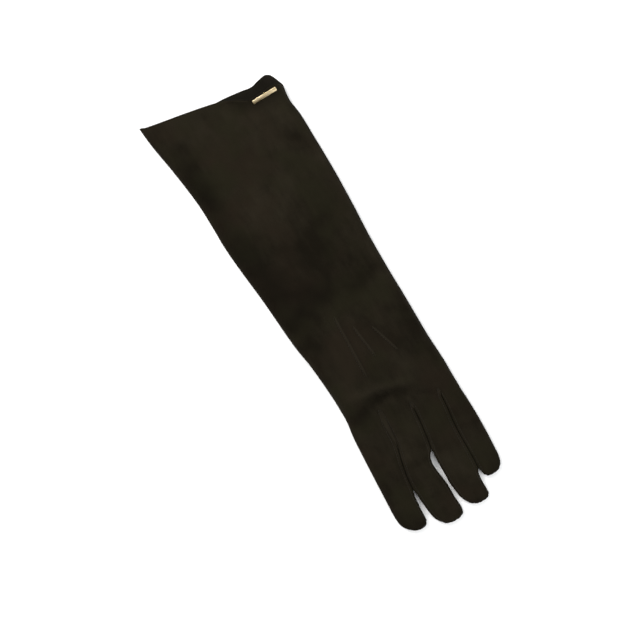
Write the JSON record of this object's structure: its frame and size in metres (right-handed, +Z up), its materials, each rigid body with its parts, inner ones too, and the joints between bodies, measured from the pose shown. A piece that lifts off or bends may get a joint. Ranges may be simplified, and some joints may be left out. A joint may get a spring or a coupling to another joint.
{
  "type": "long suede glove",
  "caption": "Long suede dress glove for the left hand, empty, lying flat back up: a hollow leather sleeve with fingers, their side strips, a thumb folded under and a small cuff plate",
  "frame": {"origin": "on the surface that the glove lies on, under the middle of its bounding box", "axes": "+Y from the cuff to the fingertips, +X towards the thumb side, +Z up, out of the back of the hand"},
  "size_m": [0.113, 0.3879, 0.0221],
  "materials": {
    "suede": "matt suede nap, very dark brown",
    "plate": "polished pale gold, bare"
  },
  "bodies": {
    "root": {"trank": "suede", "fourchette_index_middle": "suede", "fourchette_middle_ring": "suede", "fourchette_ring_little": "suede", "thumb": "suede", "metal_plate": "plate"}
  },
  "joints": []
}
